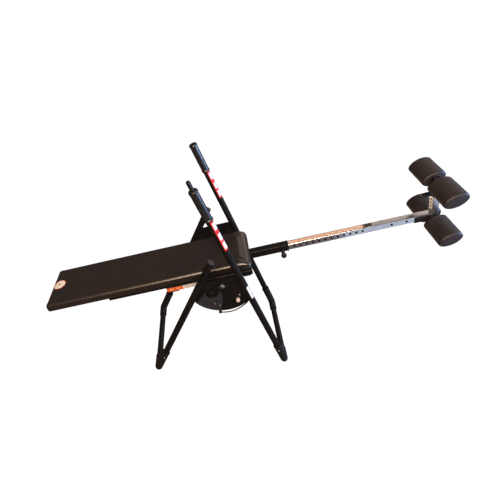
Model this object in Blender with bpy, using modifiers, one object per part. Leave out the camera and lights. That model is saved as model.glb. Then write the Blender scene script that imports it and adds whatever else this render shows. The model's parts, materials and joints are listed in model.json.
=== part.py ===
"""Inversion table: a rigid A-frame, a bench that tilts on it, and a telescoping ankle clamp.

Metres, +Z up. +X points to the ankle end, +Y to the far side, and the origin is on the floor
under the middle of the object. Run with: blender --background --python part.py
"""
import math

import bmesh
import bpy
import numpy as np
from mathutils import Vector

# ---- driving dimensions -------------------------------------------------------------------
NAME = "inversion_table"
GAP = 0.0003                    # clearance between pieces that touch
SIDES = 24                      # facets round a tube

PIVOT_X = -0.1351               # bench pivot, measured from the object's middle
PIVOT_Z = 0.660
TILT = math.radians(12.4)       # bench angle as it stands, head end down

# A-frame
HALF_TRACK = 0.2495             # middle of a side frame
TUBE_R = 0.0185
TUBE_WALL = 0.0018
FOOT_Z = 0.0225                 # height of the foot centres
FOOT_R = 0.0230
FOOT_SLEEVE = 0.140             # sleeve length up the leg
FOOT_ARM = 0.078                # sleeve length along the cross bar
ANKLE_FOOT_X = 0.3767           # feet, measured from the pivot
HEAD_FOOT_X = -0.3943
LONG_LEAN = math.radians(-22.5)
SHORT_LEAN = math.radians(23.2)
LONG_TOP = 1.2960               # tube ends, along the tube from the foot centre
SHORT_TOP = 0.8640
LEG_START = 0.030               # where a leg tube starts inside its foot

# handles
GRIP_LENGTH = 0.168
GRIP_R = 0.0212
FLANGE_R = 0.0232
BUTTON_R = 0.0105
BUTTON_TOP = 1.3490
BUTTON_TRAVEL = 0.012

# side plates, pivot and brake
PLATE_T = 0.004
PLATE_R = 0.183
PLATE_TOP = 0.045               # top edge above the pivot
AXLE_R = 0.008
BUSH_R = 0.0125
RING_R = 0.085                  # raised bearing ring on each plate
DISC_R = 0.1125                 # brake disc on the bench
BRAKE_DEPTH = 0.0150
CABLE_R = 0.0032

# bench, in its own axes: u to the ankle end, y, w up from the pivot
PAD_HEAD = -0.992
PAD_FOOT = 0.172
PAD_HALF = 0.159
PAD_TOP = 0.038
PAD_LOW = -0.0115
BED_RAIL_HEAD = -0.640
RAIL_HEAD = -0.315
RAIL_FOOT = 0.165
RAIL_OUT = 0.152
RAIL_W = 0.025
BED_RAIL_H = 0.0135
RAIL_LOW = -0.0555
EAR_Y = 0.2245
SPINE_SIZE = 0.0430
SPINE_WALL = 0.0024
SPINE_HEAD = -0.290
SPINE_FOOT = 0.384
SPINE_W = -0.0340               # centre line of the sliding tube

# sliding tube and ankle clamp
TUBE_SIZE = 0.0378
SLIDE_WALL = 0.0020
SLIDE_HEAD = -0.090
POST_U = 1.203
HOLE_PITCH = 0.035
HOLE_R = 0.0070
PIN_U = 0.353
POST_LOW = -0.090
POST_TOP = 0.086
STEM_SIZE = 0.0320
STEM_TOP = 0.150
BAR_R = 0.008
BAR_HEAD_R = 0.0140             # washer head at each end of a bar, sunk into the roller
BAR_HEAD_T = 0.0045
BAR_SUNK = 0.0030
ROLLER_HALF = 0.069             # half the long axis of the oval
ROLLER_THIN = 0.038
ROLLER_LEAN = math.radians(20)
ROLLER_IN = 0.0225
ROLLER_OUT = 0.2080
LEVER_U = 1.1782                # latch lever's axis
LEVER_W = 0.1010
UPPER_W = 0.170
LOWER_W = -0.068

# ---- scene, materials and helpers ------------------------------------------------------------
for old in list(bpy.data.objects):
    bpy.data.objects.remove(old, do_unlink=True)

parts = bpy.data.collections.new(NAME)
cutters = bpy.data.collections.new(NAME + "_cutters")
for group in (parts, cutters):
    bpy.context.scene.collection.children.link(group)


def material(name, colour, roughness, metallic=0.0):
    """A plain Principled material."""
    mat = bpy.data.materials.new(name)
    mat.use_nodes = True
    shader = mat.node_tree.nodes["Principled BSDF"]
    shader.inputs["Base Color"].default_value = (*colour, 1.0)
    shader.inputs["Roughness"].default_value = roughness
    shader.inputs["Metallic"].default_value = metallic
    return mat


MATERIALS = {
    "black_paint": ((0.016, 0.015, 0.016), 0.42, 0.0),
    "black_plastic": ((0.022, 0.021, 0.022), 0.55, 0.0),
    "grip_rubber": ((0.018, 0.017, 0.018), 0.70, 0.0),
    "vinyl": ((0.020, 0.018, 0.018), 0.48, 0.0),
    "foam": ((0.024, 0.023, 0.025), 0.66, 0.0),
    "chrome": ((0.80, 0.81, 0.84), 0.14, 1.0),
    "steel": ((0.62, 0.62, 0.63), 0.32, 1.0),
    "brass": ((0.72, 0.55, 0.30), 0.34, 1.0),
    "cream_nylon": ((0.78, 0.70, 0.66), 0.45, 0.0),
    "brake_plastic": ((0.075, 0.075, 0.088), 0.50, 0.0),
}
MATERIALS = {name: material(name, *look) for name, look in MATERIALS.items()}


def empty(name, location, lean=0.0, parent=None):
    """An empty that carries pieces: its local Z leans towards +X by `lean`."""
    holder = bpy.data.objects.new(name, None)
    holder.location = location
    holder.rotation_euler = (0.0, lean, 0.0)
    holder.parent = parent
    parts.objects.link(holder)
    return holder


def add(name, mesh, mat, location=(0, 0, 0), rotation=(0, 0, 0), parent=None, group=None):
    """Link a mesh as one named piece."""
    mesh.name = name
    piece = bpy.data.objects.new(name, mesh)
    piece.location = location
    piece.rotation_euler = rotation
    piece.parent = parent
    (group or parts).objects.link(piece)
    if mat:
        mesh.materials.append(MATERIALS[mat])
    return piece


def smooth(mesh, angle=35):
    mesh.shade_smooth()
    mesh.set_sharp_from_angle(angle=math.radians(angle))
    return mesh


def cube_mesh(size):
    """A box mesh of the given size about its own origin."""
    shape = bmesh.new()
    bmesh.ops.create_cube(shape, size=1.0)
    bmesh.ops.scale(shape, vec=Vector(size), verts=shape.verts)
    mesh = bpy.data.meshes.new("box")
    shape.to_mesh(mesh)
    shape.free()
    return mesh


def rod_mesh(radius, length, sides=SIDES):
    """A solid cylinder along Z, centred."""
    shape = bmesh.new()
    bmesh.ops.create_cone(shape, cap_ends=True, segments=sides, radius1=radius,
                          radius2=radius, depth=length)
    mesh = bpy.data.meshes.new("rod")
    shape.to_mesh(mesh)
    shape.free()
    return smooth(mesh)


def bevel(piece, width, segments=2, angle=40):
    mod = piece.modifiers.new("edge", "BEVEL")
    mod.width = width
    mod.segments = segments
    mod.limit_method = "ANGLE"
    mod.angle_limit = math.radians(angle)
    return piece


def boolean(piece, cutter, operation="DIFFERENCE"):
    """Cut or join with a hidden cutter that shares the piece's parent."""
    mod = piece.modifiers.new(operation.lower(), "BOOLEAN")
    mod.operation = operation
    mod.solver = "EXACT"
    mod.object = cutter
    cutter.hide_render = True
    cutter.display_type = "WIRE"
    return piece


def helper(mesh, location=(0, 0, 0), rotation=(0, 0, 0), parent=None):
    return add("cutter", mesh, None, location, rotation, parent, cutters)


def turned(name, profile, mat, closed=False, sides=SIDES, **place):
    """Spin a profile of (radius, height) points, top to bottom, about local Z."""
    shape = bmesh.new()
    points = [shape.verts.new((radius, 0.0, height)) for radius, height in profile]
    for first, second in zip(points, points[1:]):
        shape.edges.new((first, second))
    if closed:
        shape.edges.new((points[-1], points[0]))
    mesh = bpy.data.meshes.new(name)
    shape.to_mesh(mesh)
    shape.free()
    piece = add(name, mesh, mat, **place)
    spin = piece.modifiers.new("spin", "SCREW")
    spin.axis = "Z"
    spin.steps = spin.render_steps = sides
    spin.use_merge_vertices = True
    spin.merge_threshold = 0.00002
    spin.use_smooth_shade = True
    return piece


def pipe(name, bottom, top, mat, radius=TUBE_R, wall=TUBE_WALL, **place):
    """An open round tube along local Z."""
    inner = radius - wall
    ring = [(radius, top), (radius, bottom), (inner, bottom), (inner, top)]
    return turned(name, ring, mat, closed=True, **place)


def outline_mesh(loops, depth):
    """A flat outline in local XY, with holes, extruded to `depth` and centred on Z."""
    curve = bpy.data.curves.new("outline", "CURVE")
    curve.dimensions = "2D"
    curve.fill_mode = "BOTH"
    curve.extrude = depth / 2
    for loop in loops:
        spline = curve.splines.new("POLY")
        spline.points.add(len(loop) - 1)
        for point, (a, b) in zip(spline.points, loop):
            point.co = (a, b, 0.0, 1.0)
        spline.use_cyclic_u = True
    return curve_mesh(curve)


def curve_mesh(curve):
    """The welded mesh of a curve."""
    guide = bpy.data.objects.new("guide", curve)
    cutters.objects.link(guide)
    bpy.context.view_layer.update()
    graph = bpy.context.evaluated_depsgraph_get()
    mesh = bpy.data.meshes.new_from_object(guide.evaluated_get(graph))
    bpy.data.objects.remove(guide)
    shape = bmesh.new()
    shape.from_mesh(mesh)
    bmesh.ops.remove_doubles(shape, verts=shape.verts, dist=0.00001)
    bmesh.ops.recalc_face_normals(shape, faces=shape.faces)
    shape.to_mesh(mesh)
    shape.free()
    return mesh


def arc(centre, radius, start, end, count):
    """Points on an arc, angles in degrees."""
    angles = np.radians(np.linspace(start, end, count))
    return [(centre[0] + radius * math.cos(a), centre[1] + radius * math.sin(a)) for a in angles]


def circle(centre, radius, count=SIDES):
    return arc(centre, radius, 0, 360 * (count - 1) / count, count)


def rectangle(width, height, round_by=0.0, count=4):
    """A centred rectangle, with rounded corners where round_by is given."""
    corners = [(1, 1), (-1, 1), (-1, -1), (1, -1)]
    if not round_by:
        return [(sx * width / 2, sy * height / 2) for sx, sy in corners]
    points = []
    for quarter, (sx, sy) in enumerate(corners):
        centre = (sx * (width / 2 - round_by), sy * (height / 2 - round_by))
        points += arc(centre, round_by, 90 * quarter, 90 * quarter + 90, count)
    return points


UPRIGHT = (math.pi / 2, 0, 0)   # turns a flat outline (x, y) into the XZ plane, facing -Y
ALONG_Y = (-math.pi / 2, 0, 0)  # turns local Z to +Y
ALONG_X = (0, math.pi / 2, 0)   # turns local Z to +X


def in_plane(name, loops, depth, y, mat, parent, group=None):
    """A flat piece standing in the XZ plane with its middle at y."""
    return add(name, outline_mesh(loops, depth), mat, (0, y, 0), UPRIGHT, parent, group)


def beam(name, low, high, mat, parent):
    """A solid bar given by two opposite corners."""
    size = [b - a for a, b in zip(low, high)]
    middle = [(a + b) / 2 for a, b in zip(low, high)]
    return add(name, cube_mesh(size), mat, middle, parent=parent)


def square_tube(name, size, wall, length, mat, location, rotation, parent):
    """An open rectangular tube, drawn with rounded corners, with its length along local Z."""
    inner = [side - 2 * wall for side in size]
    loops = [rectangle(*size, round_by=0.0028), rectangle(*inner)]
    return add(name, outline_mesh(loops, length), mat, location, rotation, parent)


# ---- A-frame ---------------------------------------------------------------------------------
stand = empty("frame_origin", (PIVOT_X, 0, 0))
SIDE_NAMES = {-1: "near", 1: "far"}


def foot(name, x, side, lean):
    """A moulded corner: a sleeve for the leg, a sleeve for the cross bar, flat underneath."""
    holder = empty(name + "_axis", (x, side * HALF_TRACK, FOOT_Z), lean, stand)
    level = empty(name + "_level", (x, side * HALF_TRACK, FOOT_Z), 0, stand)
    sleeve = add(name, rod_mesh(FOOT_R, FOOT_SLEEVE), "black_plastic", (0, 0, FOOT_SLEEVE / 2),
                 parent=holder)
    arm = helper(rod_mesh(FOOT_R - 0.00005, FOOT_ARM), (0, -side * FOOT_ARM / 2, 0), ALONG_Y, level)
    boolean(sleeve, arm, "UNION")
    ball = bmesh.new()
    bmesh.ops.create_uvsphere(ball, u_segments=SIDES, v_segments=10, radius=FOOT_R + 0.0001)
    ball_mesh = bpy.data.meshes.new("ball")
    ball.to_mesh(ball_mesh)
    ball.free()
    boolean(sleeve, helper(smooth(ball_mesh), parent=level), "UNION")
    bore = TUBE_R + GAP
    leg_bore = FOOT_SLEEVE - LEG_START + 0.02
    middle = LEG_START - GAP + leg_bore / 2
    boolean(sleeve, helper(rod_mesh(bore, leg_bore), (0, 0, middle), parent=holder))
    arm_bore = FOOT_ARM - 0.0215 + 0.02
    arm_mid = 0.0215 + arm_bore / 2
    boolean(sleeve, helper(rod_mesh(bore, arm_bore), (0, -side * arm_mid, 0), ALONG_Y, level))
    boolean(sleeve, helper(cube_mesh((0.3, 0.3, 0.1)), (0, 0, -FOOT_Z - 0.05), parent=level))
    return sleeve


def legs(side):
    """The two legs of one side frame, their feet and the short leg's cap; returns the long axis."""
    tag = SIDE_NAMES[side]
    y = side * HALF_TRACK
    long_axis = empty("long_axis_" + tag, (ANKLE_FOOT_X, y, FOOT_Z), LONG_LEAN, stand)
    short_axis = empty("short_axis_" + tag, (HEAD_FOOT_X, y, FOOT_Z), SHORT_LEAN, stand)
    pipe("long_tube_" + tag, LEG_START, LONG_TOP, "black_paint", parent=long_axis)
    pipe("short_tube_" + tag, LEG_START, SHORT_TOP, "black_paint", parent=short_axis)
    foot("foot_ankle_" + tag, ANKLE_FOOT_X, side, LONG_LEAN)
    foot("foot_head_" + tag, HEAD_FOOT_X, side, SHORT_LEAN)
    inner = TUBE_R - TUBE_WALL - GAP
    cap = [(0, SHORT_TOP + 0.0052), (0.010, SHORT_TOP + 0.0050), (0.0165, SHORT_TOP + 0.0040),
           (TUBE_R + 0.0007, SHORT_TOP + 0.0022), (TUBE_R + 0.0007, SHORT_TOP + GAP),
           (inner, SHORT_TOP + GAP), (inner, SHORT_TOP - 0.018), (0, SHORT_TOP - 0.018)]
    turned("short_cap_" + tag, cap, "black_plastic", parent=short_axis)
    return long_axis


def grip(tag, axis):
    """A rubber sleeve with a flange at each end."""
    top, low = LONG_TOP, LONG_TOP - GRIP_LENGTH
    bore = TUBE_R + GAP
    outer = [(FLANGE_R - 0.001, top), (FLANGE_R, top - 0.002), (FLANGE_R, top - 0.008),
             (GRIP_R, top - 0.011), (GRIP_R, low + 0.011), (FLANGE_R, low + 0.008),
             (FLANGE_R, low + 0.002), (FLANGE_R - 0.001, low)]
    turned("grip_" + tag, outer + [(bore, low), (bore, top)], "grip_rubber", closed=True, parent=axis)


def cross_bars():
    length = 2 * (HALF_TRACK - 0.022)
    for name, x in (("cross_bar_head", HEAD_FOOT_X), ("cross_bar_ankle", ANKLE_FOOT_X)):
        pipe(name, -length / 2, length / 2, "black_paint", location=(x, 0, FOOT_Z),
             rotation=ALONG_Y, parent=stand)


def handle_tops(near_axis, far_axis):
    """A closed cap on the far handle; a guide and its push button on the near one."""
    top = LONG_TOP + GAP
    inner = TUBE_R - TUBE_WALL - GAP
    plug = [(0, top + 0.005), (0.014, top + 0.0045), (FLANGE_R - 0.003, top + 0.003),
            (FLANGE_R - 0.002, top), (inner, top), (inner, top - 0.022), (0, top - 0.022)]
    turned("handle_cap_far", plug, "black_plastic", parent=far_axis)
    bore = BUTTON_R + 0.0004
    guide = [(bore + 0.003, top + 0.005), (FLANGE_R - 0.003, top + 0.003), (FLANGE_R - 0.002, top),
             (inner, top), (inner, top - 0.022), (bore, top - 0.022), (bore, top + 0.004)]
    turned("button_guide", guide, "black_plastic", closed=True, parent=near_axis)
    low = top - 0.0326
    button = [(0, BUTTON_TOP), (0.006, BUTTON_TOP - 0.0005), (0.0092, BUTTON_TOP - 0.0025),
              (BUTTON_R, BUTTON_TOP - 0.006), (BUTTON_R, low + 0.010), (BUTTON_R + 0.003, low + 0.0095),
              (BUTTON_R + 0.003, low), (0, low)]
    turned("push_button", button, "black_plastic", parent=near_axis)


def leg_edge(foot_x, lean, z, offset):
    """X of a line beside a leg, `offset` to the +X side of its axis, relative to the pivot."""
    return foot_x + (z - FOOT_Z) * math.tan(lean) + offset / math.cos(lean)


def plate_outline():
    """The gusset between the two legs: straight beside each leg, inclined on top, round below."""
    clear = TUBE_R + GAP
    slope = math.tan(TILT)

    def meet_top(foot_x, lean, offset):
        z = PIVOT_Z + PLATE_TOP
        for _ in range(20):
            z = PIVOT_Z + PLATE_TOP + slope * leg_edge(foot_x, lean, z, offset)
        return leg_edge(foot_x, lean, z, offset), z - PIVOT_Z

    def meet_rim(foot_x, lean, offset):
        low, high = -PLATE_R, 0.0
        for _ in range(50):
            z = (low + high) / 2
            inside = math.hypot(leg_edge(foot_x, lean, PIVOT_Z + z, offset), z) < PLATE_R
            low, high = (low, z) if inside else (z, high)
        return leg_edge(foot_x, lean, PIVOT_Z + z, offset), z

    left_top = meet_top(HEAD_FOOT_X, SHORT_LEAN, clear)
    right_top = meet_top(ANKLE_FOOT_X, LONG_LEAN, -clear)
    left_rim = meet_rim(HEAD_FOOT_X, SHORT_LEAN, clear)
    right_rim = meet_rim(ANKLE_FOOT_X, LONG_LEAN, -clear)
    start = math.degrees(math.atan2(left_rim[1], left_rim[0]))
    end = math.degrees(math.atan2(right_rim[1], right_rim[0]))
    start = start - 360 if start > 0 else start
    rim = arc((0, 0), PLATE_R, start, end, 25)
    return [left_top] + rim + [right_top]


pivot = empty("pivot_centre", (PIVOT_X, 0, PIVOT_Z))


def side_plate(side):
    """The gusset plate with its raised bearing ring, and the flanged bush for the axle."""
    tag = SIDE_NAMES[side]
    y = side * HALF_TRACK
    name = "side_plate_" + tag
    bore = circle((0, 0), BUSH_R + GAP)
    plate = in_plane(name, [plate_outline(), bore], PLATE_T, y, "black_paint", pivot)
    ring = [arc((0, 0), RING_R, 180, 360, 17) + [(0.074, 0.034), (-0.078, 0.0005)], bore]
    boss = in_plane("cutter", ring, PLATE_T + 0.004, y + side * 0.0001, None, pivot, cutters)
    boolean(plate, boss, "UNION")
    near_face = side * (PLATE_T / 2 + 0.002)
    flange = 0.0185
    inner = AXLE_R + 0.00035
    back = -side * 0.005
    low, high = sorted((near_face + side * (GAP + 0.0022), back))
    bush = [(flange, high), (flange, high - 0.002), (BUSH_R, high - 0.002), (BUSH_R, low),
            (inner, low), (inner, high)]
    if side < 0:
        bush = [(BUSH_R, high), (BUSH_R, low + 0.002), (flange, low + 0.002), (flange, low),
                (inner, low), (inner, high)]
    turned("pivot_bush_" + tag, bush, "black_plastic", closed=True, location=(0, y, 0),
           rotation=ALONG_Y, parent=pivot)


BRAKE_FACE = -HALF_TRACK - PLATE_T / 2 - 0.0022 - GAP
CABLE_Y = BRAKE_FACE + HALF_TRACK - 0.0055   # cable level outside the leg, from the leg's middle


def brake_outline():
    """A crescent housing: two horns round the cam, and a base that follows the plate's rim."""
    cup = arc((-0.055, -0.046), 0.033, -8, -172, 13)
    right = [(-0.0160, -0.0320), (-0.0035, -0.0520), (0.0005, -0.0800), (-0.0020, -0.1180)]
    base = arc((0, 0), 0.166, 267, 216, 11)
    left = [(-0.1010, -0.0560), (-0.0895, -0.0220)]
    return right + base + left + cup[::-1]


def brake():
    """Brake housing, cam, screws, piston, adjuster and the cable's end stop on the near plate."""
    middle = BRAKE_FACE - BRAKE_DEPTH / 2
    piston_at = (-0.030, -0.094)
    hole = circle(piston_at, 0.0083, 16)
    housing = in_plane("brake_housing", [brake_outline(), hole], BRAKE_DEPTH, middle,
                       "brake_plastic", pivot)
    bevel(housing, 0.0022, 1)
    cam = [(0, 0.0040), (0.0130, 0.0040), (0.0150, 0.0025), (0.0150, -0.0040), (0, -0.0040)]
    turned("brake_cam", cam, "black_paint", location=(-0.056, BRAKE_FACE - 0.0040, -0.0480),
           rotation=(math.pi / 2, 0, 0), parent=pivot)
    head = [(0, 0.0035), (0.0035, 0.0032), (0.0062, 0.0018), (0.0062, 0), (0, 0)]
    for number, spot in enumerate(((-0.041, -0.112), (-0.014, -0.125)), 1):
        turned(f"brake_screw_{number}", head, "steel", sides=16, rotation=(math.pi / 2, 0, 0),
               location=(spot[0], BRAKE_FACE - BRAKE_DEPTH - GAP, spot[1]), parent=pivot)
    knob = [(0, 0.020), (0.0075, 0.0195), (0.0100, 0.0170), (0.0100, 0.0020), (0.0085, 0), (0, 0)]
    turned("adjuster_knob", knob, "cream_nylon", sides=20, rotation=(math.pi / 2, 0, 0),
           location=(0.083, BRAKE_FACE + 0.0020, -0.100), parent=pivot)
    tip = middle + HALF_TRACK - 0.0185
    end = BRAKE_DEPTH / 2
    piston = [(0, end), (0.0060, end - 0.0002), (0.0078, end - 0.0020), (0.0078, tip), (0, tip)]
    turned("brake_piston", piston, "black_paint", sides=16, rotation=(math.pi / 2, 0, 0),
           location=(piston_at[0], middle, piston_at[1]), parent=pivot)
    plate_hole = helper(rod_mesh(0.0085, 0.04, 16), (piston_at[0], -HALF_TRACK, piston_at[1]),
                        ALONG_Y, pivot)
    boolean(bpy.data.objects["side_plate_near"], plate_hole)
    stop = beam("cable_stop", (-0.0205, BRAKE_FACE - 0.0115, -0.1925),
                (-0.0045, -HALF_TRACK - PLATE_T / 2 - GAP, -0.1680), "black_plastic", pivot)
    bevel(stop, 0.002, 2)
    cable_hole = helper(rod_mesh(CABLE_R + GAP, 0.03, 12), (-0.0045, cable_route()[-1][1], -0.1880),
                        ALONG_X, pivot)
    boolean(stop, cable_hole)


def cable_route():
    """Route of the brake cable about the pivot: down inside the near long tube, out, and round the rim."""
    def in_leg(across, along, side=0.0):
        x = ANKLE_FOOT_X + along * math.sin(LONG_LEAN) + across * math.cos(LONG_LEAN)
        z = FOOT_Z - PIVOT_Z + along * math.cos(LONG_LEAN) - across * math.sin(LONG_LEAN)
        return (x, -HALF_TRACK + side, z)

    leg = [in_leg(0, along) for along in (1.2440, 1.1400, 1.0, 0.8600, 0.7200)]
    leg += [in_leg(-0.002, 0.6500, -0.002), in_leg(-0.008, 0.6100, 0.8 * CABLE_Y)]
    leg += [in_leg(-0.0185, 0.5790, CABLE_Y)]
    loose = [(0.1180, -0.1380), (0.0860, -0.1660), (0.0520, -0.1840), (0.0180, -0.1890), (-0.0060, -0.1880)]
    return leg + [(x, -HALF_TRACK + CABLE_Y, z) for x, z in loose]


def spaced(route, step):
    """Points along a Catmull-Rom curve through the route, about `step` apart."""
    points = [np.array(p) for p in route]
    padded = [2 * points[0] - points[1]] + points + [2 * points[-1] - points[-2]]
    line = [points[0]]
    for a, b, c, d in zip(padded, padded[1:], padded[2:], padded[3:]):
        count = max(1, round(float(np.linalg.norm(c - b)) / step))
        for t in np.linspace(0, 1, count + 1)[1:]:
            line.append(0.5 * (2 * b + (c - a) * t + (2 * a - 5 * b + 4 * c - d) * t ** 2
                               + (3 * b - a - 3 * c + d) * t ** 3))
    return line


def brake_cable():
    line = spaced(cable_route(), 0.022)
    curve = bpy.data.curves.new("brake_cable", "CURVE")
    curve.dimensions = "3D"
    curve.bevel_depth = CABLE_R
    curve.bevel_resolution = 2
    curve.use_fill_caps = True
    spline = curve.splines.new("POLY")
    spline.points.add(len(line) - 1)
    for point, spot in zip(spline.points, line):
        point.co = (*spot, 1.0)
    add("brake_cable", smooth(curve_mesh(curve)), "black_plastic", parent=pivot)
    slot = helper(cube_mesh((0.012, 0.0095, 0.052)), (-0.0155, CABLE_Y, 0.588), parent=near_axis)
    boolean(bpy.data.objects["long_tube_near"], slot)


# ---- bench -----------------------------------------------------------------------------------
bench = empty("bench_axis", (PIVOT_X, 0, PIVOT_Z), -TILT)


def pad():
    """The cushion: a flat slab with rounded corners that rolls over at the ankle end."""
    radius = 0.020
    waterfall = 0.075
    length = PAD_FOOT - PAD_HEAD
    middle = (PAD_HEAD + PAD_FOOT) / 2
    corners = []
    for sx, sy, start in ((1, 1, 0), (-1, 1, 90), (-1, -1, 180), (1, -1, 270)):
        centre = (middle + sx * (length / 2 - radius), sy * (PAD_HALF - radius))
        corners += arc(centre, radius, start, start + 90, 5)
    slab = add("pad", outline_mesh([corners], PAD_TOP - PAD_LOW), "vinyl",
               (0, 0, (PAD_TOP + PAD_LOW) / 2), parent=bench)
    drop = 0.018
    nose = [(PAD_FOOT - waterfall * (1 - t), PAD_TOP - drop * t ** 2.2) for t in np.linspace(0, 1, 7)]
    nose += [(PAD_FOOT + 0.02, PAD_TOP - drop), (PAD_FOOT + 0.02, PAD_TOP + 0.03),
             (PAD_FOOT - waterfall, PAD_TOP + 0.03)]
    shave = in_plane("cutter", [nose], 0.5, 0, None, bench, cutters)
    boolean(slab, shave)
    bevel(slab, 0.009, 2, 50)


def rails():
    """Two slim rails under the cushion, and the deeper frame rails that carry the pivots."""
    for side, tag in SIDE_NAMES.items():
        edges = sorted((side * RAIL_OUT, side * (RAIL_OUT - RAIL_W)))
        top = PAD_LOW - GAP
        slim = beam("bed_rail_" + tag, (BED_RAIL_HEAD, edges[0], top - BED_RAIL_H),
                    (RAIL_FOOT, edges[1], top), "black_paint", bench)
        bevel(slim, 0.002)
        mid = top - BED_RAIL_H - GAP
        height = mid - RAIL_LOW
        centre = ((RAIL_HEAD + RAIL_FOOT) / 2, side * (RAIL_OUT - RAIL_W / 2), (mid + RAIL_LOW) / 2)
        square_tube("frame_rail_" + tag, (height, RAIL_W), 0.002, RAIL_FOOT - RAIL_HEAD,
                    "black_paint", centre, ALONG_X, bench)
    for name, u in (("cross_member_head", RAIL_HEAD + 0.045), ("cross_member_ankle", RAIL_FOOT - 0.030)):
        low = RAIL_LOW - GAP
        bar = beam(name, (u - 0.02, -RAIL_OUT, low - 0.005), (u + 0.02, RAIL_OUT, low), "black_paint", bench)
        bevel(bar, 0.0012)
    inner = RAIL_OUT - RAIL_W - GAP
    slat = beam("bed_slat", (BED_RAIL_HEAD + 0.010, -inner, PAD_LOW - GAP - 0.012),
                (BED_RAIL_HEAD + 0.060, inner, PAD_LOW - GAP), "black_paint", bench)
    bevel(slat, 0.0012)


def pivot_ears():
    """Folded brackets from the frame rails out and up to the pivot, with axle bolts and nuts."""
    thick = 0.004
    for side, tag in SIDE_NAMES.items():
        low = RAIL_LOW - GAP
        ear = [arc((0, 0), 0.030, 0, 180, 13) + [(-0.042, low), (0.042, low)],
               circle((0, 0), AXLE_R + GAP)]
        upright = in_plane("pivot_ear_" + tag, ear, thick, side * EAR_Y, "black_paint", bench)
        inside = RAIL_OUT - RAIL_W + 0.002
        span = EAR_Y + thick / 2 - inside
        shelf = helper(cube_mesh((0.084, span, thick)),
                       (0, side * (inside + span / 2), low - thick / 2 + 0.00005), parent=bench)
        boolean(upright, shelf, "UNION")
        # axle bolt: head inside the ear, shank through ear, disc and bush, domed nut outside
        inner_y = EAR_Y - thick / 2 - GAP
        outer_y = HALF_TRACK + PLATE_T / 2 + 0.002 + 0.0022 + 3 * GAP
        shank = [(0, inner_y - 0.006), (0.0125, inner_y - 0.006), (0.0125, inner_y),
                 (AXLE_R, inner_y), (AXLE_R, outer_y), (0.0165, outer_y), (0.0165, outer_y + 0.0022),
                 (0.0115, outer_y + 0.0022), (0.0115, outer_y + 0.0060), (0.0090, outer_y + 0.0095),
                 (0.0050, outer_y + 0.0115), (0, outer_y + 0.0120)]
        turned("pivot_bolt_" + tag, shank[::-1], "steel", sides=18,
               rotation=(-side * math.pi / 2, 0, 0), parent=bench)


def brake_disc():
    """A half disc beside the near plate, its top edge along the bench."""
    rim = arc((0, 0), DISC_R, 180, 360, 29) + [(DISC_R, 0.022), (-DISC_R, 0.022)]
    in_plane("brake_disc", [rim, circle((0, 0), AXLE_R + GAP)], 0.003, -HALF_TRACK + 0.0207,
             "steel", bench)


def spine():
    """The square receiver under the cushion, its end collar, and the pin's threaded sleeve."""
    length = SPINE_FOOT - SPINE_HEAD
    tube = square_tube("receiver", (SPINE_SIZE, SPINE_SIZE), SPINE_WALL, length, "black_paint",
                       ((SPINE_HEAD + SPINE_FOOT) / 2, 0, SPINE_W), ALONG_X, bench)
    boolean(tube, helper(rod_mesh(0.0050, 0.02, 16), (PIN_U, -SPINE_SIZE / 2, SPINE_W), ALONG_Y, bench))
    outer, inner = SPINE_SIZE + 0.004, TUBE_SIZE + 0.0012
    loops = [rectangle(outer, outer, 0.003), rectangle(inner, inner)]
    add("receiver_collar", outline_mesh(loops, 0.005), "black_plastic",
        (SPINE_FOOT + GAP + 0.0025, 0, SPINE_W), ALONG_X, bench)
    face = SPINE_SIZE / 2 + GAP
    outwards = {"location": (PIN_U, -face, SPINE_W), "rotation": (math.pi / 2, 0, 0), "parent": bench}
    sleeve = [(0.0085, 0.033), (0.0105, 0.031), (0.0105, 0.005), (0.013, 0.005), (0.013, 0),
              (0.0048, 0), (0.0048, 0.033)]
    turned("pin_sleeve", sleeve, "black_paint", closed=True, sides=20, **outwards)
    tip = -(SPINE_WALL + GAP)
    pin = [(0, 0.070), (0.007, 0.0695), (0.0120, 0.067), (0.0150, 0.0625), (0.0160, 0.0575),
           (0.0150, 0.0525), (0.0120, 0.048), (0.009, 0.045), (0.009, 0.0335), (0.0045, 0.0335),
           (0.0045, tip + 0.001), (0.0035, tip), (0, tip)]
    turned("pull_pin", pin, "black_plastic", sides=20, **outwards)


def sliding_tube():
    """The chromed square tube with its row of adjusting holes and two more near the clamp."""
    foot_end = POST_U - TUBE_SIZE / 2 - GAP
    tube = square_tube("sliding_tube", (TUBE_SIZE, TUBE_SIZE), SLIDE_WALL, foot_end - SLIDE_HEAD,
                       "chrome", ((foot_end + SLIDE_HEAD) / 2, 0, SPINE_W), ALONG_X, bench)
    spots = [PIN_U + HOLE_PITCH * n for n in range(14)] + [0.968, 1.050]
    shape = bmesh.new()
    for u in spots:
        made = bmesh.ops.create_cone(shape, cap_ends=True, segments=14, radius1=HOLE_R,
                                     radius2=HOLE_R, depth=0.06)
        bmesh.ops.translate(shape, verts=made["verts"], vec=(u, 0, 0))
    mesh = bpy.data.meshes.new("holes")
    shape.to_mesh(mesh)
    shape.free()
    for point in mesh.vertices:
        u = min(spots, key=lambda spot: abs(spot - point.co.x))
        point.co = (point.co.x, point.co.z, SPINE_W + point.co.y)
    mesh.flip_normals()
    boolean(tube, helper(mesh, parent=bench))


def saddle():
    """A black U bracket that ties the sliding tube to the post from below."""
    half = TUBE_SIZE / 2 + GAP
    wall = 0.003
    low = -TUBE_SIZE / 2 - GAP - wall
    section = [(-half - wall, low), (half + wall, low), (half + wall, 0.010), (half, 0.010),
               (half, low + wall), (-half, low + wall), (-half, 0.010), (-half - wall, 0.010)]
    add("tube_saddle", outline_mesh([section], 0.090), "black_plastic",
        (POST_U - TUBE_SIZE / 2 - 0.0465, 0, SPINE_W), (math.pi / 2, 0, math.pi / 2), bench)


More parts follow.
